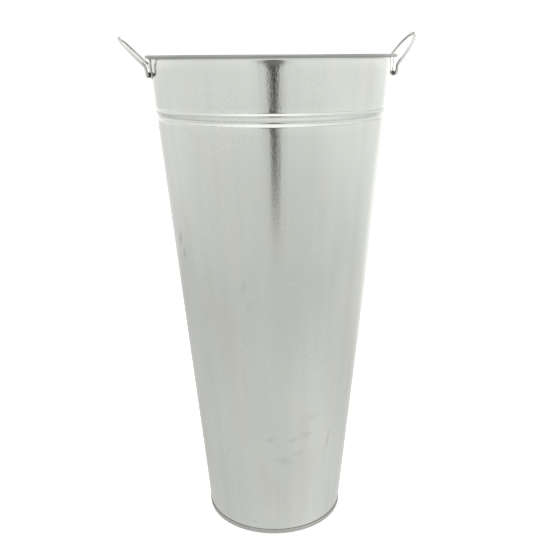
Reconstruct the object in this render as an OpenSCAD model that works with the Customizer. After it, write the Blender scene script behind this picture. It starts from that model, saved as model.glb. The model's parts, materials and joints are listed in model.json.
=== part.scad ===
// Tall tapered florist bucket of galvanised sheet steel, with two side handles of round wire.
// Millimetres. +Z is up, the bucket stands on Z = 0, and its axis is the Z axis.
// The handles are on the X axis, and the side seam is on the +Y side.

/* [Bucket] */
// Height from the floor to the top of the rolled rim
bucket_h = 381; // [320:1:440]
// Outside diameter of the rolled rim
rim_d = 189; // [170:1:220]
// Outside diameter of the foot
foot_d = 114; // [95:1:130]
// Thickness of the sheet steel
sheet_t = 0.5; // [0.4:0.05:0.7]

/* [Rim] */
// Diameter of the wire inside the rolled rim
rim_wire_d = 1.5; // [1.2:0.1:2.4]
// How far the inner side of the rolled rim stands outside the line of the wall's taper
rim_flare = 0.9; // [0.5:0.1:2]
// Height of the step that brings the wall out to the roll
flare_h = 2.2; // [1.8:0.2:4]
// Height of the lip under that step, over which the wall turns upright
lip_h = 7; // [4:0.5:10]

/* [Bead and groove] */
// Distance from the rim down to the crest of the ring bead
bead_drop = 39.6; // [30:0.1:60]
// Width of the bead
bead_w = 5.6; // [4:0.1:7]
// Height of the bead above the wall
bead_h = 0.7; // [0.3:0.05:1.2]
// Distance from the bead's crest down to the bottom of the groove under it
groove_pitch = 3.9; // [3:0.1:6]
// Width of the groove
groove_w = 7.4; // [5:0.1:9]
// Depth of the groove below the wall
groove_depth = 0.95; // [0.3:0.05:1.2]

/* [Foot] */
// Height of the folded band around the foot
band_h = 4; // [3:0.5:6]
// Height of the bottom sheet above the floor
recess_h = 4.5; // [3:0.5:8]
// Width of the sealant fillet around the bottom
sealant_w = 2.4; // [1:0.2:4]

/* [Side seam] */
// Width of the folded side seam
seam_w = 5; // [4:0.5:8]
// How far the side seam stands out from the wall
seam_t = 1; // [0.6:0.1:1.6]

/* [Handles] */
// Diameter of the handle wire
handle_wire_d = 2.2; // [1.8:0.1:2.6]
// Width of a handle, between the centres of its legs
handle_w = 42; // [36:1:44]
// Length of a handle from the bend in its legs to its tip
handle_l = 28; // [26:1:40]
// Angle of the outward bend in the legs
knee_angle = 32; // [15:1:40]
// Lean of the left handle out from the vertical
left_lean = 44.5; // [36:0.5:60]
// Lean of the right handle out from the vertical
right_lean = 36.5; // [36:0.5:60]

/* [Ears] */
// Width of an ear plate
ear_w = 35; // [32:1:44]
// Thickness of an ear plate
ear_t = 0.8; // [0.6:0.1:1]
// Distance from the rim down to the handle's pivot
pivot_drop = 14; // [13:0.5:16]
// Length of the bridge that holds the handle
bridge_l = 28; // [20:1:32]
// Shank diameter of the ear rivets
rivet_d = 2.4; // [2:0.1:3]
// Distance between the two rivets of an ear
rivet_pitch = 16; // [12:1:20]

/* [Hidden] */

$fn = 96;
lathe_fn = 180;
zinc = "#cfd1cc";
bright_zinc = "#dcdedb";
sealant_grey = "#a3a5a0";

// Fit and contact gaps
fold_gap = 0.05;
hole_gap = 0.05;
running_gap = 0.06;
pivot_wall_gap = 0.3;

// Wall: a straight cone from the foot up, with a ring bead over a groove. Its top turns upright and
// then steps out under the rolled rim.
wire_r = rim_wire_d / 2;
roll_r = wire_r + sheet_t;
roll_z = bucket_h - roll_r;
cone_top_r = rim_d / 2 - rim_wire_d - sheet_t - rim_flare;
cone_foot_r = foot_d / 2 - sheet_t - fold_gap;
taper = (cone_top_r - cone_foot_r) / roll_z;
wall_tilt = atan(taper);
roll_ring_r = rim_d / 2 - roll_r;
flare_z = roll_z - flare_h;
lip_z = flare_z - lip_h;
flare_out = rim_flare + taper * (roll_z - lip_z - lip_h / 2);
bead_z = bucket_h - bead_drop;
groove_z = bead_z - groove_pitch;
wall_foot_z = sheet_t + fold_gap;

function cone_r(z) = cone_foot_r + taper * z;
function smooth(u) = u <= 0 ? 0 : u >= 1 ? 1 : u * u * (3 - 2 * u);
function lip_r(z) =
    let (up = min(max(z - lip_z, 0), lip_h))
    cone_r(min(z, lip_z)) + taper * (up - up * up / lip_h / 2);
function wall_r(z) = lip_r(z) + flare_out * smooth((z - flare_z) / flare_h);

// A rounded hump of height 1 and width 1, centred on u = 0
function hump(u) = abs(u) < 0.5 ? pow(cos(180 * u), 2) : 0;
function bead_out(z) = bead_h * hump((z - bead_z) / bead_w)
                     - groove_depth * hump((z - groove_z) / groove_w);

bead_steps = 22;
lip_steps = 5;
flare_steps = 9;
bead_low = groove_z - groove_w / 2;
bead_high = bead_z + bead_w / 2;
bead_points = [
    for (i = [0:bead_steps])
    let (z = bead_low + (bead_high - bead_low) * i / bead_steps)
    [wall_r(z) + bead_out(z), z]
];
lip_points = [
    for (i = [0:lip_steps - 1])
    let (z = lip_z + lip_h * i / lip_steps)
    [wall_r(z), z]
];
flare_points = [
    for (i = [0:flare_steps])
    let (z = flare_z + flare_h * i / flare_steps)
    [wall_r(z), z]
];
rim_points = concat(lip_points, flare_points);

// The wall's outer line from height `low` to the middle of the rolled rim, moved out by `out`
function wall_line(low, out = 0) = [
    for (p = concat([[wall_r(low), low]], bead_points, rim_points)) [p[0] + out, p[1]]
];
function backwards(list) = [for (i = [len(list) - 1:-1:0]) list[i]];

// Ears and handles
handle_wire_r = handle_wire_d / 2;
pivot_z = bucket_h - pivot_drop;
pivot_x = wall_r(pivot_z) + handle_wire_r + pivot_wall_gap;
bridge_inner_r = handle_wire_r + running_gap;
bridge_outer_r = bridge_inner_r + ear_t;
ear_top_z = bucket_h - 2 * roll_r - 0.3;
ear_low_z = pivot_z - bridge_outer_r - 0.6;
ear_corner_r = 3;
rivet_z = (ear_top_z + pivot_z + bridge_outer_r) / 2 - 0.2;
rivet_head_r = 2.1;
rivet_head_h = 1;
rivet_turn = asin(rivet_pitch / 2 / wall_r(rivet_z));

leg_y = handle_w / 2;
corner_bend_r = 2;
knee_drop = 6.4;
knee_bend_r = 4;
knee_tangent = knee_bend_r * tan(knee_angle / 2);
wire_end_gap = 2;
splice_lap = 0.15;
splice_extra = 0.02;
upper_l = handle_l - leg_y - knee_tangent;

// ---- Bucket ----

// The space inside the wall's outer surface moved out by `out`, without the bead and groove
module inside_wall(out, top) {
    rotate_extrude($fn = lathe_fn)
        polygon(concat([[0, 0], [cone_r(0) + out, 0]], [for (p = rim_points) p + [out, 0]],
                       [[wall_r(roll_z) + out, top], [0, top]]));
}

module side_seam() {
    seam_low = band_h + 1;
    intersection() {
        rotate_extrude($fn = lathe_fn)
            polygon(concat(wall_line(seam_low, seam_t), backwards(wall_line(seam_low, -sheet_t / 2))));
        translate([-seam_w / 2, 0, 0])
            cube([seam_w, rim_d, flare_z + flare_h / 2]);
    }
}

module body_wall() {
    color(zinc) difference() {
        union() {
            rotate_extrude($fn = lathe_fn) {
                polygon(concat(wall_line(wall_foot_z), backwards(wall_line(wall_foot_z, -sheet_t))));
                translate([roll_ring_r, roll_z])
                    difference() {
                        circle(roll_r);
                        circle(wire_r);
                    }
            }
            side_seam();
        }
        for (side = [0, 180])
            at_rivets(side) rivet_hole();
    }
}

module rim_wire() {
    color(bright_zinc)
        rotate_extrude($fn = lathe_fn)
            translate([roll_ring_r, roll_z])
                circle(wire_r - fold_gap / 2);
}

// The bottom sheet: its edge folds down inside the wall and up around the outside of the foot
module bottom_pan() {
    inner = -sheet_t - fold_gap;
    outer = fold_gap;
    foot_round = 0.4;
    disc_top = recess_h + sheet_t;
    color(zinc)
        rotate_extrude($fn = lathe_fn)
            polygon([
                [0, recess_h],
                [cone_r(recess_h) + inner - sheet_t, recess_h],
                [cone_r(foot_round) + inner - sheet_t, foot_round],
                [cone_r(0) + inner - sheet_t + foot_round, 0],
                [cone_r(0) + outer + sheet_t - foot_round, 0],
                [cone_r(foot_round) + outer + sheet_t, foot_round],
                [cone_r(band_h) + outer + sheet_t, band_h - sheet_t / 2],
                [cone_r(band_h) + outer, band_h],
                [cone_r(sheet_t) + outer, sheet_t],
                [cone_r(sheet_t) + inner, sheet_t],
                [cone_r(recess_h) + inner, recess_h],
                [cone_r(recess_h) + inner - sheet_t / 2, disc_top],
                [0, disc_top]
            ]);
}

module bottom_sealant() {
    low = recess_h + sheet_t;
    color(sealant_grey)
        rotate_extrude($fn = lathe_fn)
            difference() {
                polygon([
                    [cone_r(low) - sheet_t - sealant_w, low],
                    [cone_r(low) - sheet_t, low],
                    [cone_r(low + sealant_w) - sheet_t, low + sealant_w]
                ]);
                translate([cone_r(low) - sheet_t - sealant_w, low + sealant_w])
                    circle(sealant_w * 0.9);
            }
}

// ---- Ears ----

// Puts its children at an ear's two rivets: +X outward through the wall
module at_rivets(side) {
    for (turn = [-rivet_turn, rivet_turn])
        rotate([0, 0, side + turn])
            translate([wall_r(rivet_z), 0, rivet_z])
                rotate([0, wall_tilt, 0])
                    children();
}

module rivet_hole() {
    hole_l = 12;
    rotate([0, 90, 0])
        cylinder(h = hole_l, r = rivet_d / 2 + hole_gap, center = true);
}

// A low dome of height `h` and radius `r`, standing on Z = 0, with a buried disc below
module dome(r, h, buried) {
    ball_r = (r * r + h * h) / (2 * h);
    rotate_extrude()
        intersection() {
            translate([0, h - ball_r]) circle(ball_r);
            translate([0, -buried]) square([r, h + buried]);
        }
}

module ear_outline() {
    half_w = ear_w / 2;
    height = ear_top_z - ear_low_z;
    translate([-half_w, ear_low_z + ear_corner_r])
        square([ear_w, height - ear_corner_r]);
    translate([-half_w + ear_corner_r, ear_low_z])
        square([ear_w - 2 * ear_corner_r, ear_corner_r * 2]);
    for (side = [-1, 1])
        translate([side * (half_w - ear_corner_r), ear_low_z + ear_corner_r])
            circle(ear_corner_r);
}

module bridge_section(r, back) {
    circle(r);
    translate([-back, -r])
        square([back, 2 * r]);
}

// Runs along Y, with its round side towards +X
module bridge_bar(r, back, length) {
    rotate([90, 0, 0])
        linear_extrude(length, center = true)
            bridge_section(r, back);
}

module ear() {
    back = 8;
    slot_clear = 1;
    difference() {
        union() {
            intersection() {
                inside_wall(ear_t, bucket_h);
                rotate([90, 0, 90])
                    linear_extrude(rim_d)
                        ear_outline();
            }
            translate([pivot_x, 0, pivot_z])
                rotate([0, wall_tilt, 0])
                    bridge_bar(bridge_outer_r, back, bridge_l);
        }
        inside_wall(0, bucket_h + 1);
        translate([pivot_x, 0, pivot_z])
            rotate([0, wall_tilt, 0])
                bridge_bar(bridge_inner_r, back + slot_clear, bridge_l + slot_clear);
        at_rivets(0) rivet_hole();
    }
}

module left_ear() {
    color(zinc) rotate([0, 0, 180]) ear();
}

module right_ear() {
    color(zinc) ear();
}

module ear_rivets(side) {
    buried = 1;
    tail_h = 0.8;
    at_rivets(side)
        rotate([0, 90, 0])
            translate([0, 0, -sheet_t])
                cylinder(h = sheet_t + ear_t, r = rivet_d / 2);
    difference() {
        at_rivets(side)
            translate([ear_t, 0, 0])
                rotate([0, 90, 0])
                    dome(rivet_head_r, rivet_head_h, buried);
        inside_wall(ear_t, bucket_h);
    }
    intersection() {
        at_rivets(side)
            translate([-sheet_t, 0, 0])
                rotate([0, -90, 0])
                    dome(rivet_head_r, tail_h, buried);
        inside_wall(-sheet_t, bucket_h);
    }
}

module left_ear_rivets() {
    color(bright_zinc) ear_rivets(180);
}

module right_ear_rivets() {
    color(bright_zinc) ear_rivets(0);
}

// ---- Handles ----

// A round wire from the origin up +Z
module straight_wire(length) {
    cylinder(h = length, r = handle_wire_r);
}

// The same, a hair thicker and longer at both ends, so that it takes in the ends of the bends beside it
module spliced_wire(length) {
    translate([0, 0, -splice_lap])
        cylinder(h = length + 2 * splice_lap, r = handle_wire_r + splice_extra);
}

// A round wire bent about the Y axis: it starts at the origin along +Z and bends towards +X
module bent_wire(bend_r, angle) {
    translate([bend_r, 0, 0])
        rotate([90, 0, 0])
            mirror([1, 0, 0])
                rotate_extrude(angle = angle)
                    translate([bend_r, 0])
                        circle(handle_wire_r);
}

// One leg of a handle: the stub in the bridge, the corner, the bend and the leg up to the tip's arc.
// The pivot is the Y axis and the lower part of the leg stands along +Z.
module leg() {
    stub_l = leg_y - corner_bend_r - wire_end_gap / 2;
    lower_l = knee_drop - knee_tangent - corner_bend_r;
    translate([0, wire_end_gap / 2, 0])
        rotate([-90, 0, 0])
            straight_wire(stub_l);
    translate([0, leg_y - corner_bend_r, 0])
        rotate([-90, 0, 0])
            rotate([0, 0, -90])
                bent_wire(corner_bend_r, 90);
    translate([0, leg_y, corner_bend_r])
        spliced_wire(lower_l);
    translate([0, leg_y, knee_drop - knee_tangent])
        bent_wire(knee_bend_r, knee_angle);
    above_knee()
        translate([0, leg_y, 0])
            spliced_wire(upper_l);
}

// Puts its children at the pivot's height above the bend, with +Z along the upper legs
module above_knee() {
    translate([0, 0, knee_drop])
        rotate([0, knee_angle, 0])
            translate([0, 0, knee_tangent])
                children();
}

module handle(lean) {
    translate([pivot_x, 0, pivot_z])
        rotate([0, lean - knee_angle, 0]) {
            for (side = [0, 1])
                mirror([0, side, 0])
                    leg();
            above_knee()
                translate([0, leg_y, upper_l])
                    rotate([0, 0, -90])
                        bent_wire(leg_y, 180);
        }
}

module left_handle() {
    color(bright_zinc) rotate([0, 0, 180]) handle(left_lean);
}

module right_handle() {
    color(bright_zinc) handle(right_lean);
}

body_wall();
rim_wire();
bottom_pan();
bottom_sealant();
left_ear();
right_ear();
left_ear_rivets();
right_ear_rivets();
left_handle();
right_handle();
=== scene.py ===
"""Looks for the galvanised florist bucket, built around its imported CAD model.

Metres. +Z is up, the bucket stands on Z = 0 with its axis on the Z axis, the handles are on the
X axis and the side seam is on the +Y side. The camera stands on the -Y side.
"""

import json
import math

import bmesh
import bpy
import numpy as np
from mathutils import Matrix, Vector


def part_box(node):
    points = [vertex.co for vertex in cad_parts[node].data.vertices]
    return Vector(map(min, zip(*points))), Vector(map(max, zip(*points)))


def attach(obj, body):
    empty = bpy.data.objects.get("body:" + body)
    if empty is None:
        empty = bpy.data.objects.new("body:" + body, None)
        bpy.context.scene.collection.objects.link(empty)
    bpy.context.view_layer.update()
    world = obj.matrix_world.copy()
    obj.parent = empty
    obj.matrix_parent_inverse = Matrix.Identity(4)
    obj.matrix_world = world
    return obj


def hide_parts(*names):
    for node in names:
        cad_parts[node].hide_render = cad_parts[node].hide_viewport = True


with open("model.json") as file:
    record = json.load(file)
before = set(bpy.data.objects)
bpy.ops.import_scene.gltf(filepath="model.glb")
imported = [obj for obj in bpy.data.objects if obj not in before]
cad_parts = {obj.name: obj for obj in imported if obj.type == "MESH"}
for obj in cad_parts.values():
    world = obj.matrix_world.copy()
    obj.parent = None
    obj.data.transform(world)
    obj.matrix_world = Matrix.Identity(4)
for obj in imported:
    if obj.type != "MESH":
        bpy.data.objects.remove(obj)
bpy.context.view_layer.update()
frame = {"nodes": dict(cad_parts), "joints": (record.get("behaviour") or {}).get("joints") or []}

MM = 0.001


def joint_of(body):
    """The joint that moves a body."""
    return next(j for j in frame["joints"] if j["child"] == body)


# ---- Sizes: from the frame where it states them, and the CAD source's own values elsewhere ----

BUCKET_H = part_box("body_wall")[1].z
RIM_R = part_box("body_wall")[1].x
PIVOT = Vector(joint_of("right_handle")["pos_m"])
EAR_LOW_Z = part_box("right_ear")[0].z
EAR_HIGH_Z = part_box("right_ear")[1].z
EAR_HALF_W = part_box("right_ear")[1].y

SHEET_T = 0.5 * MM
RIM_WIRE_R = 0.75 * MM
ROLL_R = RIM_WIRE_R + SHEET_T
ROLL_Z = BUCKET_H - ROLL_R
ROLL_RING_R = RIM_R - ROLL_R
RIM_FLARE = 0.9 * MM
FLARE_H = 2.2 * MM
LIP_H = 7 * MM
FLARE_Z = ROLL_Z - FLARE_H
LIP_Z = FLARE_Z - LIP_H
FOLD_GAP = 0.05 * MM
CONE_TOP_R = RIM_R - 2 * RIM_WIRE_R - SHEET_T - RIM_FLARE
CONE_FOOT_R = 56.45 * MM
BEAD_Z = BUCKET_H - 39.6 * MM
BEAD_W = 5.6 * MM
BEAD_H = 0.7 * MM
GROOVE_Z = BEAD_Z - 3.9 * MM
GROOVE_W = 7.4 * MM
GROOVE_DEPTH = 0.95 * MM
TAPER = (CONE_TOP_R - CONE_FOOT_R) / ROLL_Z
FLARE_OUT = RIM_FLARE + TAPER * (ROLL_Z - LIP_Z - LIP_H / 2)
WALL_TILT = math.atan(TAPER)
BAND_H = 4 * MM
RECESS_H = 4.5 * MM
SEALANT_W = 2.4 * MM
SEAM_W = 5 * MM
SEAM_T = 1 * MM
SEAM_LOW_Z = BAND_H + 1 * MM
SEAM_HIGH_Z = FLARE_Z + FLARE_H / 2
EAR_T = 0.8 * MM
HANDLE_WIRE_R = 1.1 * MM
HANDLE_HALF_W = 21 * MM
HANDLE_L = 28 * MM
CORNER_BEND_R = 2 * MM
KNEE_DROP = 6.4 * MM
KNEE_BEND_R = 4 * MM
KNEE_ANGLE = math.radians(32)
LEFT_LEAN = math.radians(44.5)
RIGHT_LEAN = math.radians(36.5)
WIRE_END_GAP = 2 * MM
BRIDGE_HALF_L = 14 * MM
BRIDGE_IN_R = HANDLE_WIRE_R + 0.06 * MM
RIVET_PITCH = 16 * MM
RIVET_HEAD_R = 2.1 * MM
RIVET_HEAD_H = 1 * MM
RIVET_SHANK_R = 1.2 * MM
RIVET_TAIL_R = RIVET_HEAD_R * 0.95
RIVET_TAIL_H = 0.8 * MM
RIVET_Z = sum(v.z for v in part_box("right_ear_rivets")) / 2


def cone_r(z):
    return CONE_FOOT_R + TAPER * z


def smooth(u):
    u = min(max(u, 0.0), 1.0)
    return u * u * (3 - 2 * u)


def hump(u):
    return math.cos(math.pi * u) ** 2 if abs(u) < 0.5 else 0.0


def wall_r(z):
    """Radius of the wall's outer surface without the bead and groove."""
    up = min(max(z - LIP_Z, 0.0), LIP_H)
    lip = cone_r(min(z, LIP_Z)) + TAPER * (up - up * up / LIP_H / 2)
    return lip + FLARE_OUT * smooth((z - FLARE_Z) / FLARE_H)


def beaded_r(z):
    """Radius of the wall's outer surface."""
    bead = BEAD_H * hump((z - BEAD_Z) / BEAD_W)
    groove = GROOVE_DEPTH * hump((z - GROOVE_Z) / GROOVE_W)
    return wall_r(z) + bead - groove


# ---- Mesh tools ----

AROUND = 288
START_ANGLE = math.pi / 2


def spaced(low, high, count):
    return [low + (high - low) * i / (count - 1) for i in range(count)]


def arc(centre, radius, start, end, count):
    """Points on an arc in the (radius, height) plane, from one angle to another in degrees."""
    x, z = centre
    turns = [math.radians(a) for a in spaced(start, end, count)]
    return [(x + radius * math.cos(a), z + radius * math.sin(a)) for a in turns]


def mean_radius(profile):
    return sum(p[0] for p in profile) / len(profile)


def mesh_piece(name, vertices, faces, materials, face_materials=None, uvs=None, sharp=35):
    """A smooth-shaded mesh object with edges over the sharp angle kept.

    uvs maps each vertex of each face, in face order, to the UV map "sheet".
    """
    mesh = bpy.data.meshes.new(name)
    mesh.from_pydata([tuple(v) for v in vertices], [], faces)
    for material in materials:
        mesh.materials.append(material)
    if face_materials is not None:
        mesh.polygons.foreach_set("material_index", face_materials)
    if uvs is not None:
        layer = mesh.uv_layers.new(name="sheet")
        layer.data.foreach_set("uv", np.array(uvs, np.float32).ravel())
    mesh.shade_smooth()
    mesh.set_sharp_from_angle(angle=math.radians(sharp))
    mesh.update()
    obj = bpy.data.objects.new(name, mesh)
    bpy.context.scene.collection.objects.link(obj)
    return obj


def weld(obj):
    """Merges the points that meet, such as those on a turned shape's own axis."""
    made = bmesh.new()
    made.from_mesh(obj.data)
    bmesh.ops.remove_doubles(made, verts=made.verts, dist=1e-7)
    bmesh.ops.dissolve_degenerate(made, dist=1e-8, edges=made.edges)
    bmesh.ops.recalc_face_normals(made, faces=made.faces)
    made.to_mesh(obj.data)
    made.free()


def lathe(name, profile, materials, slots=None, closed=True, around=AROUND, warp=None):
    """Turns (radius, height) points about the Z axis, from +Y round to +Y again.

    slots gives each profile segment's material slot, and warp(angle, height) a small change of
    radius. The UV map "sheet" is the flattened sheet in metres, or a flat disc's own X and Y.
    """
    rows = len(profile)
    vertices = []
    for i in range(around):
        angle = START_ANGLE + 2 * math.pi * i / around
        c, s = math.cos(angle), math.sin(angle)
        for r, z in profile:
            moved = r + (warp(angle, z) if warp else 0.0)
            vertices.append((moved * c, moved * s, z))
    step = mean_radius(profile) * 2 * math.pi / around
    faces, face_slots, uvs = [], [], []
    for i in range(around):
        a, b = i * rows, ((i + 1) % around) * rows
        u0, u1 = step * i, step * (i + 1)
        for k in range(rows if closed else rows - 1):
            n = (k + 1) % rows
            faces.append((a + k, b + k, b + n, a + n))
            face_slots.append(slots[k] if slots else 0)
            v0, v1 = profile[k][1], profile[n][1]
            if v0 == v1:
                uvs += [vertices[v][:2] for v in faces[-1]]
            else:
                uvs += [(u0, v0), (u1, v0), (u1, v1), (u0, v1)]
    return mesh_piece(name, vertices, faces, materials, face_slots, uvs)


def loop_solid(loops, count, first=0):
    """The faces of a solid made of loops of count points each, with its two ends closed."""
    faces = []
    for i in range(loops - 1):
        for k in range(count):
            n = (k + 1) % count
            corners = (i * count + k, i * count + n, (i + 1) * count + n, (i + 1) * count + k)
            faces.append(tuple(first + c for c in corners))
    last = first + (loops - 1) * count
    faces.append(tuple(first + k for k in reversed(range(count))))
    faces.append(tuple(last + k for k in range(count)))
    return faces


def swept(name, path, radius, material, sides=24):
    """A round wire along a path of points, with a slightly rounded flat at each end."""
    path = [Vector(p) for p in path]
    tangents = []
    for i in range(len(path)):
        ahead = path[min(i + 1, len(path) - 1)] - path[max(i - 1, 0)]
        tangents.append(ahead.normalized())
    round_off = radius * 0.25
    rings = [(path[0], tangents[0], radius - round_off)]
    rings.append((path[0] + tangents[0] * round_off, tangents[0], radius))
    rings += [(point, tangent, radius) for point, tangent in zip(path[1:-1], tangents[1:-1])]
    rings.append((path[-1] - tangents[-1] * round_off, tangents[-1], radius))
    rings.append((path[-1], tangents[-1], radius - round_off))
    side = tangents[0].orthogonal().normalized()
    vertices = []
    for centre, tangent, r in rings:
        side = (side - tangent * side.dot(tangent)).normalized()
        other = tangent.cross(side)
        for k in range(sides):
            a = 2 * math.pi * k / sides
            vertices.append(centre + r * (math.cos(a) * side + math.sin(a) * other))
    return mesh_piece(name, vertices, loop_solid(len(rings), sides), [material], sharp=50)


# ---- Materials ----


def grey(value, alpha=1.0):
    return (value, value, value, alpha)


class Nodes:
    """Short calls for building a node tree."""

    def __init__(self, tree):
        self.tree = tree

    def node(self, kind, inputs=None, **settings):
        made = self.tree.nodes.new(kind)
        for key, value in settings.items():
            setattr(made, key, value)
        for key, value in (inputs or {}).items():
            self.set(made.inputs[key], value)
        return made

    def set(self, socket, value):
        if isinstance(value, bpy.types.NodeSocket):
            self.tree.links.new(value, socket)
        else:
            socket.default_value = value

    def math(self, operation, a, b=0.0):
        return self.node("ShaderNodeMath", {0: a, 1: b}, operation=operation).outputs[0]

    def plus(self, *terms):
        total = terms[0]
        for term in terms[1:]:
            total = self.math("ADD", total, term)
        return total

    def times(self, *factors):
        product = factors[0]
        for factor in factors[1:]:
            product = self.math("MULTIPLY", product, factor)
        return product

    def less(self, share):
        """What is left of 1 when a share is taken off."""
        return self.math("SUBTRACT", 1.0, share)

    def vector(self, operation, a, b=(0, 0, 0)):
        return self.node("ShaderNodeVectorMath", {0: a, 1: b}, operation=operation)

    def uv(self):
        return self.node("ShaderNodeUVMap", uv_map="sheet").outputs["UV"]

    def place(self):
        return self.node("ShaderNodeTexCoord").outputs["Object"]

    def pattern(self, vector, scale, shift=(0, 0, 0), detail=2.0, roughness=0.5, distortion=0.0):
        """Noise with its own scale along each axis."""
        placed = self.node(
            "ShaderNodeMapping", {"Vector": vector, "Scale": scale, "Location": shift}
        ).outputs[0]
        inputs = {
            "Vector": placed,
            "Scale": 1.0,
            "Detail": detail,
            "Roughness": roughness,
            "Distortion": distortion,
        }
        return self.node("ShaderNodeTexNoise", inputs).outputs["Fac"]

    def ramp(self, value, low, high, out_low=0.0, out_high=1.0):
        """Maps low..high to out_low..out_high, with nothing beyond either end."""
        inputs = {
            "Value": value,
            "From Min": low,
            "From Max": high,
            "To Min": out_low,
            "To Max": out_high,
        }
        return self.node("ShaderNodeMapRange", inputs).outputs["Result"]

    def curve(self, value, points):
        """A line through (value, result) points, level beyond its two ends."""
        low, high = points[0][0], points[-1][0]
        top = max(p[1] for p in points)
        made = self.node("ShaderNodeValToRGB", {"Fac": self.ramp(value, low, high)})
        stops = made.color_ramp.elements
        while len(stops) < len(points):
            stops.new(0.5)
        for stop, (at, result) in zip(stops, points):
            stop.position = (at - low) / (high - low)
            stop.color = grey(result / top)
        return self.times(made.outputs["Color"], top)

    def mix(self, share, a, b, blend="MIX"):
        made = self.node("ShaderNodeMix", data_type="RGBA", blend_type=blend)
        for socket, value in ((made.inputs[0], share), (made.inputs[6], a), (made.inputs[7], b)):
            self.set(socket, value)
        return made.outputs[2]

    def shaded(self, colour, light):
        """A colour made lighter or darker by a number."""
        shade = self.node("ShaderNodeCombineColor", {0: light, 1: light, 2: light}).outputs[0]
        return self.mix(1.0, colour, shade, "MULTIPLY")

    def bump(self, height, distance, normal=None):
        inputs = {"Height": height, "Distance": distance, "Strength": 1.0}
        if normal is not None:
            inputs["Normal"] = normal
        return self.node("ShaderNodeBump", inputs).outputs["Normal"]


class MaterialNodes(Nodes):
    """The nodes of one new material around its one shader."""

    def __init__(self, name):
        self.material = bpy.data.materials.new(name)
        self.material.use_nodes = True
        super().__init__(self.material.node_tree)
        self.shader = next(n for n in self.tree.nodes if n.type == "BSDF_PRINCIPLED")

    def finish(self, **inputs):
        for key, value in inputs.items():
            self.set(self.shader.inputs[key.replace("_", " ")], value)
        return self.material


SHEET_TONE = (0.530, 0.542, 0.517)
WARM_TONE = (1.0, 0.985, 0.91)
EDGE_TINT = grey(0.72)
WIRE_TONE = (0.56, 0.56, 0.55)
RIVET_TONE = (0.62, 0.625, 0.61)

# Patterns on the sheet. A scale is along the sheet, up it and across it, per metre.
SHEET_PATTERNS = {
    "grain": {"scale": (1000, 330, 1), "roughness": 0.6},
    "streak": {"scale": (85, 7, 1), "shift": (3.1, 0.4, 0), "detail": 3.0},
    "cloud": {"scale": (16, 9, 1), "shift": (7.7, 2.1, 0), "distortion": 0.4},
    "stain": {"scale": (34, 9, 1), "shift": (1.9, 5.9, 0), "detail": 2.5},
    "patch": {"scale": (24, 13, 1), "shift": (4.4, 8.3, 0)},
    "facet": {"scale": (900, 420, 1), "detail": 1.0},
    "spangle": {"scale": (620, 430, 1), "shift": (2.2, 6.1, 0), "detail": 1.0},
}

# How the patterns change the sheet: the noise from and to, and the result at each
SPECK_LIGHT = (0.25, 0.75, -0.04, 0.04)
PATCH_OF_SPECKS = (0.44, 0.6, 0.3, 1.5)
STREAK_LIGHT = (0.25, 0.75, 0.975, 1.025)
CLOUD_LIGHT = (0.3, 0.7, 0.95, 1.035)
STAIN_SHARE = (0.54, 0.70, 0.0, 0.55)
GRAIN_ROUGHNESS = (0.3, 0.7, -0.03, 0.03)
CLOUD_ROUGHNESS = (-0.03, 0.04)

FACET_BUMP = 0.02 * MM
DULL_BUMP = 0.08 * MM
SPANGLE_BUMP = 0.02 * MM
STREAK_BUMP = 0.15 * MM

# Soft marks on the wall: distance along the sheet from the front line, height, half length and
# half width in millimetres, turn in degrees and darkness
RUBS = [
    (-90, 248, 9.0, 4.0, 62, 0.26),
    (-86, 237, 6.0, 3.0, 75, 0.22),
    (-24, 219, 9.0, 3.0, 70, 0.07),
    (-20, 205, 7.0, 3.4, 80, 0.05),
    (-4, 91, 5.5, 3.4, 10, 0.12),
    (20, 90, 7.0, 3.6, 15, 0.10),
    (33, 93, 9.0, 4.2, 5, 0.09),
    (12, 71, 15.0, 4.6, -10, 0.10),
    (24, 77, 9.0, 3.2, 8, 0.09),
    (38, 108, 12.0, 4.6, 5, 0.07),
    (62, 82, 13.0, 2.4, 76, 0.14),
    (-25, 11, 5.0, 2.2, -25, 0.14),
    (-16, 17, 3.0, 2.4, 60, 0.05),
    (-42, 22, 6.0, 3.0, -40, 0.04),
    (-52, 75, 10.0, 3.0, 40, 0.05),
    (-60, 330, 9.0, 4.0, -35, 0.03),
]
RUB_CORE = 0.1


def toned(scale, tone=SHEET_TONE):
    return [v * scale for v in tone]


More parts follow.
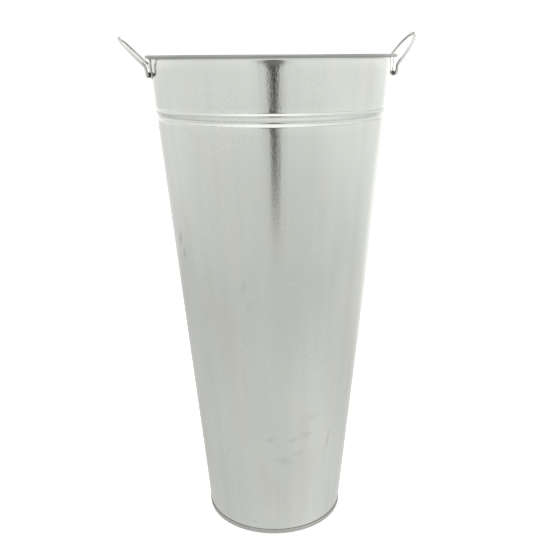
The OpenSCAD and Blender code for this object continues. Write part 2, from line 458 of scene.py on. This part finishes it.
def sheet_metal(name, tone, roughness, dull=0.0, metallic=1.0, front=None):
    """Zinc-coated sheet: a pale grey metal with spangle, rolling streaks and cloudy patches.

    dull makes its facets deeper. front is the wall's front line on the sheet, for its rub marks.
    """
    n = MaterialNodes(name)
    uv = n.uv()
    p = {key: n.pattern(uv, **settings) for key, settings in SHEET_PATTERNS.items()}

    speck = n.times(n.ramp(p["grain"], *SPECK_LIGHT), n.ramp(p["patch"], *PATCH_OF_SPECKS))
    light = n.times(n.plus(1.0, speck), n.ramp(p["streak"], *STREAK_LIGHT))
    light = n.times(light, n.ramp(p["cloud"], *CLOUD_LIGHT))
    if front is not None:
        light = n.times(light, *[rub_mark(n, uv, front, *rub) for rub in RUBS])
    warm = [a * b for a, b in zip(tone, WARM_TONE)]
    colour = n.mix(n.ramp(p["stain"], *STAIN_SHARE), (*tone, 1), (*warm, 1))

    smoothest, roughest = (roughness + change for change in CLOUD_ROUGHNESS)
    blur = n.ramp(p["cloud"], 0.3, 0.7, smoothest, roughest)
    blur = n.plus(blur, n.ramp(p["grain"], *GRAIN_ROUGHNESS))
    normal = n.bump(p["facet"], FACET_BUMP + DULL_BUMP * dull)
    normal = n.bump(p["spangle"], SPANGLE_BUMP, normal)
    normal = n.bump(p["streak"], STREAK_BUMP, normal)
    return n.finish(
        Base_Color=n.shaded(colour, light),
        Metallic=metallic,
        Specular_Tint=EDGE_TINT,
        Roughness=blur,
        Normal=normal,
    )


def rub_mark(n, uv, front, along, height, half_l, half_w, turn, dark):
    """1 away from the mark, and 1 - dark in its middle."""
    moved = n.vector("SUBTRACT", uv, (front + along * MM, height * MM, 0)).outputs[0]
    turned = n.node(
        "ShaderNodeVectorRotate",
        {"Vector": moved, "Angle": -math.radians(turn)},
        rotation_type="Z_AXIS",
    ).outputs[0]
    sized = n.vector("MULTIPLY", turned, (1 / (half_l * MM), 1 / (half_w * MM), 0)).outputs[0]
    length = n.vector("LENGTH", sized).outputs["Value"]
    return n.ramp(length, RUB_CORE, 1.0, 1.0 - dark, 1.0)


def wire_zinc(name, tone, roughness):
    """Plated steel: bright, with fine drawing lines and a little mottling."""
    n = MaterialNodes(name)
    place = n.place()
    mottle = n.pattern(place, (260, 260, 260))
    fine = n.pattern(place, (1800, 1800, 1800), detail=1.0)
    light = n.times(n.ramp(mottle, 0.3, 0.7, 0.90, 1.04), n.ramp(fine, 0.3, 0.7, 0.97, 1.03))
    return n.finish(
        Base_Color=n.shaded((*tone, 1), light),
        Metallic=1.0,
        Specular_Tint=EDGE_TINT,
        Roughness=n.ramp(mottle, 0.3, 0.7, roughness - 0.04, roughness + 0.06),
        Normal=n.bump(mottle, 0.06 * MM),
    )


def sealant(name):
    """Matt grey seam sealant, smeared by hand."""
    n = MaterialNodes(name)
    place = n.place()
    smear = n.pattern(place, (90, 90, 240), detail=3.0, distortion=0.5)
    dust = n.pattern(place, (900, 900, 900))
    colour = n.mix(n.ramp(smear, 0.35, 0.65), (0.17, 0.17, 0.16, 1), (0.27, 0.27, 0.25, 1))
    colour = n.mix(n.ramp(dust, 0.6, 0.75, 0.0, 0.4), colour, (0.36, 0.36, 0.34, 1))
    return n.finish(
        Base_Color=colour,
        Metallic=0.0,
        Roughness=n.ramp(smear, 0.3, 0.7, 0.55, 0.75),
        Normal=n.bump(smear, 0.3 * MM),
    )


# ---- Bucket ----

CURL_END = -135
SEAM_FOLD = [(0.1, 1.0), (0.45, 0.98), (0.52, 0.72), (0.6, 0.66)]


def wall_warp(angle, z):
    """Sheet metal is never quite round: slow waves of a few hundredths of a millimetre."""
    fade = smooth((z - 8 * MM) / (30 * MM)) * smooth((LIP_Z - z) / (30 * MM))
    wave = (
        0.050 * math.sin(3 * angle + 9 * z + 0.4)
        + 0.030 * math.sin(7 * angle - 21 * z + 1.9)
        + 0.012 * math.sin(17 * angle + 33 * z + 0.7)
    )
    return wave * fade * MM


def wall_heights():
    """Heights along the wall, closer together where its outline bends."""
    bead_low = GROOVE_Z - GROOVE_W / 2
    bead_high = BEAD_Z + BEAD_W / 2
    heights = spaced(SHEET_T + FOLD_GAP, bead_low, 60)
    heights += spaced(bead_low, bead_high, 40)[1:]
    heights += spaced(bead_high, LIP_Z, 10)[1:]
    heights += spaced(LIP_Z, FLARE_Z, 12)[1:]
    heights += spaced(FLARE_Z, ROLL_Z, 18)[1:]
    return heights


def wall_profile():
    """The wall's outside, its top edge curled round the rim wire, and its inside."""
    heights = wall_heights()
    centre = (ROLL_RING_R, ROLL_Z)
    outside = [(beaded_r(z), z) for z in heights]
    curl = arc(centre, RIM_WIRE_R, 180, CURL_END, 34)[1:]
    curl += arc(centre, ROLL_R, CURL_END, 180, 44)[:-1]
    inside = [(beaded_r(z) - SHEET_T, z) for z in reversed(heights)]
    return outside, curl, inside


def front_line():
    """Where the side that faces the camera is on the wall's flattened sheet."""
    outside, curl, inside = wall_profile()
    return mean_radius(outside + curl + inside) * (math.pi - CAMERA_TURN)


def body_wall(material, rim_material, inside_material):
    outside, curl, inside = wall_profile()
    slots = [0] * len(outside) + [1] * len(curl) + [2] * (len(inside) - 1) + [0]
    materials = [material, rim_material, inside_material]
    obj = lathe("wall", outside + curl + inside, materials, slots, warp=wall_warp)
    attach(obj, "bucket")
    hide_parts("body_wall")


def seam_section():
    """The outline across the seam, as (along the wall, out from it), with a fold line in it."""
    half = SEAM_W / 2
    edge = 0.35 * MM
    sunk = -0.2 * MM
    low_side = SEAM_T * 0.62
    left_edge = [(-half + edge - edge * math.cos(a), edge * math.sin(a)) for a in spaced(0.2, 1.57, 5)]
    right_edge = [(half - edge + edge * math.sin(a), edge * math.cos(a)) for a in spaced(0.0, 1.4, 5)]
    section = [(-half, sunk), (-half, SEAM_T - edge)]
    section += [(x, SEAM_T - edge + out) for x, out in left_edge]
    section += [(half * x, SEAM_T * out) for x, out in SEAM_FOLD]
    section += [(x, low_side - edge + out) for x, out in right_edge]
    return section + [(half, sunk)]


def side_seam(material):
    """The folded seam up the back of the wall: a flat strip with rounded edges and a fold line."""
    section = seam_section()
    heights = [z for z in wall_heights() if SEAM_LOW_Z < z < SEAM_HIGH_Z]
    heights = [SEAM_LOW_Z] + heights + [SEAM_HIGH_Z]
    vertices = []
    for z in heights:
        ends = smooth((z - SEAM_LOW_Z) / (2 * MM)) * smooth((SEAM_HIGH_Z - z) / (2.5 * MM))
        for x, out in section:
            lift = min(out, 0.0) + max(out, 0.0) * (0.35 + 0.65 * ends)
            vertices.append((x, beaded_r(z) + lift, z))
    faces = [tuple(reversed(face)) for face in loop_solid(len(heights), len(section))]
    uvs = [(vertices[v][0], vertices[v][2]) for face in faces for v in face]
    obj = mesh_piece("side_seam", vertices, faces, [material], uvs=uvs)
    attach(obj, "bucket")


def bottom_profiles():
    """The bottom's underside and foot band, up to the tray's edge, and then the tray's floor."""
    inner, outer = -SHEET_T - FOLD_GAP, FOLD_GAP
    out_x, in_x = outer + SHEET_T, inner - SHEET_T
    fold = 0.45 * MM
    bend_r = 0.9 * MM
    brim = SHEET_T * 0.8
    disc_top = RECESS_H + SHEET_T
    disc_r = cone_r(RECESS_H) + in_x - bend_r
    mid_r = 6 * MM
    below = [(0.0, RECESS_H)]
    below += [(r, RECESS_H) for r in spaced(mid_r, disc_r, 14)]
    below += arc((disc_r, RECESS_H - bend_r), bend_r, 90, 4, 6)[1:]
    below += [(cone_r(fold) + in_x, fold * 1.6)]
    below += arc((cone_r(fold) + in_x + fold, fold), fold, 180, 270, 6)
    below += arc((cone_r(fold) + out_x - fold, fold), fold, 270, 360, 6)
    below += [(cone_r(z) + out_x, z) for z in spaced(fold * 1.8, BAND_H - fold * 0.6, 5)]
    below += arc((cone_r(BAND_H) + outer + SHEET_T / 2, BAND_H - SHEET_T / 2), SHEET_T / 2, 0, 180, 9)
    below += [(cone_r(SHEET_T) + outer, SHEET_T), (cone_r(SHEET_T) + inner, SHEET_T)]
    below += [(cone_r(z) + inner, z) for z in spaced(1.2 * MM, RECESS_H, 4)]
    below += arc((cone_r(RECESS_H) + inner - brim, disc_top - brim), brim, 10, 90, 5)
    floor_rs = reversed(spaced(mid_r, cone_r(RECESS_H) - 3 * MM, 14))
    return below, [(r, disc_top) for r in floor_rs] + [(0.0, disc_top)]


def bottom_pan(material, inside_material):
    """The recessed bottom, folded down inside the wall and up around the outside of the foot."""
    below, tray = bottom_profiles()
    slots = [0] * len(below) + [1] * len(tray)
    obj = lathe("bottom", below + tray, [material, inside_material], slots, closed=False)
    weld(obj)
    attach(obj, "bucket")
    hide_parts("bottom_pan")


def bottom_sealant(material):
    """A fillet of sealant where the bottom meets the wall, a little uneven."""
    low = RECESS_H + SHEET_T
    high = low + SEALANT_W
    wall = cone_r(low) - SHEET_T
    profile = [(wall - SEALANT_W, low)]
    profile += arc((wall - SEALANT_W, high), SEALANT_W * 0.9, -78, -12, 9)
    profile += [(cone_r(high) - SHEET_T, high), (wall, low)]

    def smear(angle, z):
        waves = ((0.10, 11, 0), (0.07, 29, 1), (0.05, 53, 2))
        wave = sum(size * math.sin(count * angle + shift) for size, count, shift in waves)
        return (wave - 0.12) * MM * hump((z - low) / SEALANT_W - 0.35)

    obj = lathe("seam_sealant", profile, [material], around=240, warp=smear)
    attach(obj, "bucket")
    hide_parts("bottom_sealant")


# ---- Ears ----

PLATE_CORNER_R = 3 * MM
PLATE_EDGE_R = 0.25 * MM
PLATE_BEVEL = PLATE_EDGE_R * 0.3
PLATE_GAP = 0.02 * MM
BRIDGE_BACK = -1.0 * MM


def on_wall(y, z, out):
    """A point beside the wall at distance y from the X axis plane, moved out from its surface."""
    r = wall_r(z) + out
    return Vector((math.sqrt(r * r - y * y), y, z))


def rounded_off(distance, radius):
    """How far a rounded edge has fallen back, at a distance in from it."""
    left = radius - min(distance, radius)
    return radius - math.sqrt(max(0.0, radius**2 - left**2))


def plate_slice(y):
    """The outline of the plate where it is cut at y, first up its back and then down its face."""
    from_end = EAR_HALF_W - abs(y)
    low = EAR_LOW_Z + rounded_off(from_end, PLATE_CORNER_R)
    high = EAR_HIGH_Z
    out = EAR_T - rounded_off(from_end, PLATE_EDGE_R)
    level = (low + 1 * MM, high - 1 * MM)
    outline = [(low + PLATE_EDGE_R * 0.1, PLATE_GAP)]
    outline += [(z, PLATE_GAP) for z in spaced(*level, 6)]
    outline += [(high, PLATE_GAP), (high, out - PLATE_EDGE_R)]
    outline += [(high - PLATE_BEVEL, out - PLATE_BEVEL), (high - PLATE_EDGE_R, out)]
    outline += [(z, out) for z in reversed(spaced(*level, 8))]
    outline += [(low + PLATE_EDGE_R, out), (low + PLATE_BEVEL, out - PLATE_BEVEL)]
    outline += [(low, out - PLATE_EDGE_R)]
    return [on_wall(y, z, away) for z, away in outline]


def plate_slices():
    """The plate, bent round the wall, with rounded edges and lower corners."""
    near_end = [-EAR_HALF_W + d for d in (0, 0.08 * MM, PLATE_EDGE_R)]
    near_end += spaced(-EAR_HALF_W + 0.6 * MM, -EAR_HALF_W + PLATE_CORNER_R, 6)
    middle = spaced(-EAR_HALF_W + PLATE_CORNER_R, EAR_HALF_W - PLATE_CORNER_R, 32)[1:-1]
    far_end = [-y for y in reversed(near_end)]
    return [plate_slice(y) for y in near_end + middle + far_end]


def bridge_slices():
    """Half a tube over the handle's wire, with feet that run into the plate."""
    tilt = Matrix.Rotation(WALL_TILT, 3, "Y")
    slices = []
    for y in spaced(-BRIDGE_HALF_L, BRIDGE_HALF_L, 25):
        from_end = BRIDGE_HALF_L - abs(y)
        r = BRIDGE_IN_R + EAR_T - 0.12 * MM * (1 - smooth(from_end / (0.5 * MM)))
        outline = [(BRIDGE_BACK, -r)] + arc((0, 0), r, -90, 90, 19) + [(BRIDGE_BACK, r)]
        outline += [(BRIDGE_BACK, BRIDGE_IN_R)] + arc((0, 0), BRIDGE_IN_R, 90, -90, 15)
        outline += [(BRIDGE_BACK, -BRIDGE_IN_R)]
        slices.append([tilt @ Vector((x, y, z)) + PIVOT for x, z in outline])
    return slices


def side_turn(side):
    """Ears, rivets and handles are made for the right side, and turned to the left."""
    return math.pi if side == "left" else 0.0


def ear(side, material):
    """A plate riveted to the wall, with a raised bridge that holds the handle's wire."""
    vertices, faces = [], []
    for slices in (plate_slices(), bridge_slices()):
        faces += loop_solid(len(slices), len(slices[0]), first=len(vertices))
        for outline in slices:
            vertices += outline
    turn = Matrix.Rotation(side_turn(side), 4, "Z")
    vertices = [turn @ v for v in vertices]
    uvs = [(vertices[v].y, vertices[v].z) for face in faces for v in face]
    obj = mesh_piece(f"{side}_ear_plate", vertices, faces, [material], uvs=uvs)
    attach(obj, "bucket")
    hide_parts(f"{side}_ear")


def dome(r, h):
    """A dome's profile from its top down to its rim, as (radius, height)."""
    ball = (r * r + h * h) / (2 * h)
    reach = math.asin(r / ball)
    return [(ball * math.sin(a), h - ball + ball * math.cos(a)) for a in spaced(0, reach, 10)]


def rivet_profile():
    """A rivet from the top of its head to the end of its tail, with its seat at height 0."""
    sunk = -0.05 * MM
    grip = -(EAR_T + SHEET_T)
    profile = [(0.0, RIVET_HEAD_H)] + dome(RIVET_HEAD_R, RIVET_HEAD_H)[1:]
    profile += [(RIVET_HEAD_R, sunk), (RIVET_SHANK_R, sunk), (RIVET_SHANK_R, grip)]
    return profile + [(r, grip - h) for r, h in reversed(dome(RIVET_TAIL_R, RIVET_TAIL_H))]


def rivets(side, material):
    """Two round-head rivets, with their set tails inside the wall."""
    turn = math.asin(RIVET_PITCH / 2 / wall_r(RIVET_Z))
    profile = rivet_profile()
    around, rows = 40, len(profile)
    vertices, faces = [], []
    for sign in (-1, 1):
        place = (
            Matrix.Rotation(side_turn(side) + sign * turn, 4, "Z")
            @ Matrix.Translation((wall_r(RIVET_Z), 0, RIVET_Z))
            @ Matrix.Rotation(WALL_TILT + math.pi / 2, 4, "Y")
            @ Matrix.Translation((0, 0, EAR_T))
        )
        first = len(vertices)
        for i in range(around):
            a = 2 * math.pi * i / around
            for r, z in profile:
                vertices.append(place @ Vector((r * math.cos(a), r * math.sin(a), z)))
        for i in range(around):
            here, there = first + i * rows, first + (i + 1) % around * rows
            for k in range(rows - 1):
                faces.append((here + k, here + k + 1, there + k + 1, there + k))
    obj = mesh_piece(f"{side}_rivets", vertices, faces, [material])
    weld(obj)
    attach(obj, "bucket")
    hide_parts(f"{side}_ear_rivets")


# ---- Handles ----


def bend(start, heading, towards, radius, angle, count):
    """Points on a bend that leaves start along heading and turns towards another direction.

    Returns the points and the new heading.
    """
    centre = start + towards * radius
    points = []
    for a in spaced(0, angle, count)[1:]:
        points.append(centre - towards * (radius * math.cos(a)) + heading * (radius * math.sin(a)))
    return points, heading * math.cos(angle) + towards * math.sin(angle)


def half_handle():
    """One half of a handle's centre line, from its end inside the bridge to the middle of its tip.

    The pivot is the Y axis, and the lower part of the leg stands along +Z.
    """
    x, y, z = Vector((1, 0, 0)), Vector((0, 1, 0)), Vector((0, 0, 1))
    tangent = KNEE_BEND_R * math.tan(KNEE_ANGLE / 2)
    upper_l = HANDLE_L - HANDLE_HALF_W - tangent
    points = [y * d for d in spaced(WIRE_END_GAP / 2, HANDLE_HALF_W - CORNER_BEND_R, 12)]
    more, heading = bend(points[-1], y, z, CORNER_BEND_R, math.pi / 2, 10)
    points += more
    points.append(points[-1] + heading * (KNEE_DROP - tangent - CORNER_BEND_R))
    more, heading = bend(points[-1], heading, x, KNEE_BEND_R, KNEE_ANGLE, 10)
    points += more
    points += [points[-1] + heading * d for d in spaced(upper_l / 5, upper_l, 5)]
    more, _ = bend(points[-1], heading, -y, HANDLE_HALF_W, math.pi / 2, 28)
    return points + more


def handle(side, lean, material):
    """A wire loop that hangs in the ear's bridge and leans outward."""
    half = half_handle()
    other = [Vector((p.x, -p.y, p.z)) for p in reversed(half[:-1])]
    flip = Matrix.Rotation(side_turn(side), 4, "Z")
    place = flip @ Matrix.Translation(PIVOT) @ Matrix.Rotation(lean - KNEE_ANGLE, 4, "Y")
    path = [place @ p for p in half + other]
    obj = swept(f"{side}_handle_wire", path, HANDLE_WIRE_R, material)
    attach(obj, f"{side}_handle")
    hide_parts(f"{side}_handle")


# ---- Camera and floor ----

CAMERA_TURN = math.radians(4.76)
CAMERA_DISTANCE = 584 * MM
CAMERA_Z = 381 * MM
CAMERA_PITCH = math.radians(16.598)
CAMERA_YAW = math.radians(0.163)
CAMERA_ROLL = math.radians(-0.42)
CAMERA_LENS = 48.44
SENSOR_WIDTH = 36
FLOOR_REACH = 12.0
FLOOR_Z = -0.3 * MM
FLOOR_PAINT = 0.8
FLOOR_GLOW = 0.58


def camera():
    """A camera at the rim's height that looks down at the middle of the bucket."""
    level = Vector((math.sin(CAMERA_YAW), math.cos(CAMERA_YAW), 0))
    forward = level * math.cos(CAMERA_PITCH) + Vector((0, 0, -math.sin(CAMERA_PITCH)))
    right = Vector((math.cos(CAMERA_YAW), -math.sin(CAMERA_YAW), 0))
    up = right.cross(forward)
    c, s = math.cos(CAMERA_ROLL), math.sin(CAMERA_ROLL)
    right, up = c * right + s * up, -s * right + c * up
    pose = Matrix((right, up, -forward)).transposed().to_4x4()
    pose.translation = (0, -CAMERA_DISTANCE, CAMERA_Z)
    data = bpy.data.cameras.new("camera")
    data.lens = CAMERA_LENS
    data.sensor_width = SENSOR_WIDTH
    data.clip_start, data.clip_end = 0.01, 50
    obj = bpy.data.objects.new("camera", data)
    obj.matrix_world = Matrix.Rotation(-CAMERA_TURN, 4, "Z") @ pose
    bpy.context.scene.collection.objects.link(obj)
    bpy.context.scene.camera = obj


def white_floor():
    """A wide white floor a hair below the foot. In reflections, the world stands for it."""
    paint = MaterialNodes("white_floor").finish(
        Base_Color=grey(FLOOR_PAINT),
        Roughness=0.9,
        Emission_Color=grey(1.0),
        Emission_Strength=FLOOR_GLOW,
    )
    corners = [(-1, -1), (1, -1), (1, 1), (-1, 1)]
    mesh = bpy.data.meshes.new("floor")
    mesh.from_pydata([(x * FLOOR_REACH, y * FLOOR_REACH, FLOOR_Z) for x, y in corners], [], [(0, 1, 2, 3)])
    mesh.materials.append(paint)
    obj = bpy.data.objects.new("floor", mesh)
    bpy.context.scene.collection.objects.link(obj)
    obj.visible_glossy = False


# ---- What the metal reflects ----
#
# Heights are the sine of a direction's angle above the horizon. Angles around are in radians from
# the camera's side of the bucket, positive to its right, and WIDE ones are without their sign. A
# ramp is what it runs from and to, and where it isn't from 0 to 1 its result at each end.

# The pale floor, brightest far away, and the room above it
FLOOR_SHADES = [
    (-1.0, 1.25),
    (-0.8, 1.15),
    (-0.68, 1.03),
    (-0.58, 0.985),
    (-0.52, 0.92),
    (-0.45, 0.935),
    (-0.38, 1.0),
    (-0.33, 1.04),
    (-0.29, 1.10),
    (-0.22, 1.20),
    (-0.12, 1.26),
    (-0.04, 1.31),
]
ROOM_SHADES = [(0.02, 1.30), (0.10, 1.0), (0.50, 0.85), (0.62, 0.7), (0.8, 1.25), (1.0, 1.8)]

# The floor's right side is brighter, less so close to the bucket, and only below the horizon
RIGHT_GAINS = [(0.1, 1.1, 0.0, 0.085), (1.9, 2.7, 0.0, 0.38)]
RIGHT_NEAR = (-0.25, -0.62, 1.0, 0.25)
BELOW_HORIZON = (-0.05, 0.02, 1.0, 0.0)

# Other brighter stretches of the floor: a ramp around, and a ramp of height
FLOOR_GAINS = [
    ((0.3, 1.2, 0.0, 0.13), (-0.38, -0.54)),
    ((-1.7, -2.3, 0.0, 0.12), (-0.34, -0.45)),
    ((2.45, 2.85, 0.0, 0.9), (-0.17, -0.09)),
    ((2.3, 2.55, 0.0, 0.22), (-0.44, -0.32)),
    ((-1.8, -2.5, 0.0, 0.10), (-0.34, -0.28)),
]
GAIN_WIDE = (3.0, math.pi, 1.0, 0.0)

# Behind the bucket the floor is darker, on the left at every height and on the right near it
BEHIND_WIDE = [(2.8, 2.9), (math.pi, 3.06)]
BEHIND_LEFT = (-0.1, 0.1, 1.0, 0.0)
BEHIND_RIGHT = (-0.1, 0.1)
BEHIND_RIGHT_HEIGHT = (-0.13, -0.2)
BEHIND_DARK = 0.5

# Broad soft light beside and behind the bucket
FLANK_WIDE = (1.2, 2.6)
FLANK_HEIGHTS = [(-0.1, 0.05), (0.7, 0.4)]
FLANK_LIGHT = 0.5

# A long soft light above the camera, which goes on all the way round at half its strength
BAND_HEIGHT = 0.42
BAND_EDGE = (0.11, 0.22, 1.0, 0.0)
BAND_WIDE = (0.35, 1.4, 1.0, 0.5)
BAND_LIGHT = 0.92

# The dark room behind the bucket
BACK_WIDE = (2.95, 3.1)
BACK_HEIGHTS = [(0.02, 0.12), (0.6, 0.4)]
BACK_DARK = 0.85

# A tall dark stand in front: the angle of its middle, its half width and its darkness by height
STAND_MIDDLE = (-0.20, -0.33, 0.026, 0.066)
STAND_HALF_WIDTHS = [
    (-0.42, 0.05),
    (-0.3, 0.066),
    (-0.19, 0.058),
    (-0.14, 0.075),
    (-0.06, 0.15),
    (0.0, 0.20),
    (0.08, 0.17),
]
STAND_DARKS = [
    (-0.42, 0.0),
    (-0.385, 0.22),
    (-0.36, 0.48),
    (-0.33, 0.74),
    (-0.29, 0.9),
    (-0.2, 0.97),
    (-0.15, 0.95),
    (-0.08, 0.72),
    (0.16, 0.72),
    (0.20, 0.0),
]
STAND_EDGE = (-0.045, 0.03)
HALO_EDGE = (-0.2, 0.0, 0.0, 0.22)
HALO_HEIGHTS = [(-0.42, -0.25), (0.2, 0.1)]

WORLD_TINT = (1.0, 1.0, 0.985, 1)
SEEN_WHITE = 1.06


def direction(n):
    """A direction's height, and its angle around from the camera's side."""
    split = n.node("ShaderNodeSeparateXYZ", {0: n.node("ShaderNodeTexCoord").outputs["Generated"]})
    x, y, z = split.outputs
    c, s = math.cos(CAMERA_TURN), math.sin(CAMERA_TURN)
    right = n.plus(n.times(x, c), n.times(y, -s))
    front = n.plus(n.times(x, -s), n.times(y, -c))
    return z, n.math("ARCTAN2", right, front)


def floor_gain(n, z, around, wide):
    """What the floor's brighter stretches add, as a share of its own light."""
    right = n.plus(*[n.ramp(around, *gain) for gain in RIGHT_GAINS])
    gains = [n.times(right, n.ramp(z, *RIGHT_NEAR), n.ramp(z, *BELOW_HORIZON))]
    for gain, heights in FLOOR_GAINS:
        gains.append(n.times(n.ramp(around, *gain), n.ramp(z, *heights)))
    return n.times(n.plus(*gains), n.ramp(wide, *GAIN_WIDE))


def behind_dark(n, z, around, wide):
    """How much of the light from behind the bucket is missing."""
    right = n.times(n.ramp(around, *BEHIND_RIGHT), n.ramp(z, *BEHIND_RIGHT_HEIGHT))
    share = n.plus(n.ramp(around, *BEHIND_LEFT), right)
    return n.times(share, *[n.ramp(wide, *ends) for ends in BEHIND_WIDE], BEHIND_DARK)


def soft_lights(n, z, wide):
    """The broad light beside the bucket and the long one above the camera."""
    flank = n.times(n.ramp(wide, *FLANK_WIDE), *[n.ramp(z, *ends) for ends in FLANK_HEIGHTS])
    from_band = n.math("ABSOLUTE", n.math("SUBTRACT", z, BAND_HEIGHT))
    band = n.times(n.ramp(from_band, *BAND_EDGE), n.ramp(wide, *BAND_WIDE))
    return n.plus(n.times(flank, FLANK_LIGHT), n.times(band, BAND_LIGHT))


def back_dark(n, z, wide):
    """How much of the light from the room behind the bucket is missing."""
    back = n.times(n.ramp(wide, *BACK_WIDE), *[n.ramp(z, *ends) for ends in BACK_HEIGHTS])
    return n.times(back, BACK_DARK)


def stand_light(n, z, around):
    """The share of the light that the dark stand and the dimness around it let through."""
    offset = n.math("ABSOLUTE", n.math("SUBTRACT", around, n.ramp(z, *STAND_MIDDLE)))
    inside = n.math("SUBTRACT", n.curve(z, STAND_HALF_WIDTHS), offset)
    core = n.times(n.ramp(inside, *STAND_EDGE), n.curve(z, STAND_DARKS))
    halo = n.times(n.ramp(inside, *HALO_EDGE), *[n.ramp(z, *ends) for ends in HALO_HEIGHTS])
    return n.times(n.less(core), n.less(halo))


def surroundings():
    """White behind the bucket, and a studio with a pale floor around it for the reflections."""
    world = bpy.data.worlds.new("studio")
    bpy.context.scene.world = world
    world.use_nodes = True
    n = Nodes(world.node_tree)
    z, around = direction(n)
    wide = n.math("ABSOLUTE", around)
    shade = n.curve(z, FLOOR_SHADES + ROOM_SHADES)
    shade = n.times(shade, n.plus(1.0, floor_gain(n, z, around, wide)))
    shade = n.times(shade, n.less(behind_dark(n, z, around, wide)))
    shade = n.plus(shade, soft_lights(n, z, wide))
    shade = n.times(shade, n.less(back_dark(n, z, wide)), stand_light(n, z, around))

    seen = n.node("ShaderNodeLightPath").outputs["Is Camera Ray"]
    strength = n.node("ShaderNodeMix", {0: seen, 2: shade, 3: SEEN_WHITE}).outputs[0]
    background = n.tree.nodes["Background"]
    background.inputs["Color"].default_value = WORLD_TINT
    n.set(background.inputs["Strength"], strength)


# ---- The whole scene ----


def bucket():
    sheet = sheet_metal("galvanised_wall", SHEET_TONE, 0.125, front=front_line())
    folded = sheet_metal("galvanised_folds", toned(0.93), 0.26)
    # The bottom's outside and its foot band get a tone much darker than the wall's: painted shade where
    # the foot meets the floor.
    hem = sheet_metal("galvanised_hem_painted_shade", toned(0.71), 0.3, dull=0.3)
    inner = sheet_metal("galvanised_inside", toned(1.1), 0.4, dull=0.3, metallic=0.35)
    # The curled rim's much darker tone is partly its duller, rougher zinc and partly painted shade in the
    # curl and the crease beneath it.
    rim = sheet_metal("galvanised_rim_dull_and_shaded", toned(0.54), 0.36, dull=1.0)
    wire = wire_zinc("zinc_wire", WIRE_TONE, 0.28)
    rivet = wire_zinc("zinc_rivet", RIVET_TONE, 0.26)
    body_wall(sheet, rim, inner)
    side_seam(folded)
    bottom_pan(hem, inner)
    bottom_sealant(sealant("seam_sealant"))
    for side, lean in (("left", LEFT_LEAN), ("right", RIGHT_LEAN)):
        ear(side, folded)
        rivets(side, rivet)
        handle(side, lean, wire)
    rim_wire = frame["nodes"]["rim_wire"]
    rim_wire.data.materials.clear()
    rim_wire.data.materials.append(wire)


bucket()
bpy.context.scene.view_settings.view_transform = "Standard"
surroundings()
white_floor()
camera()
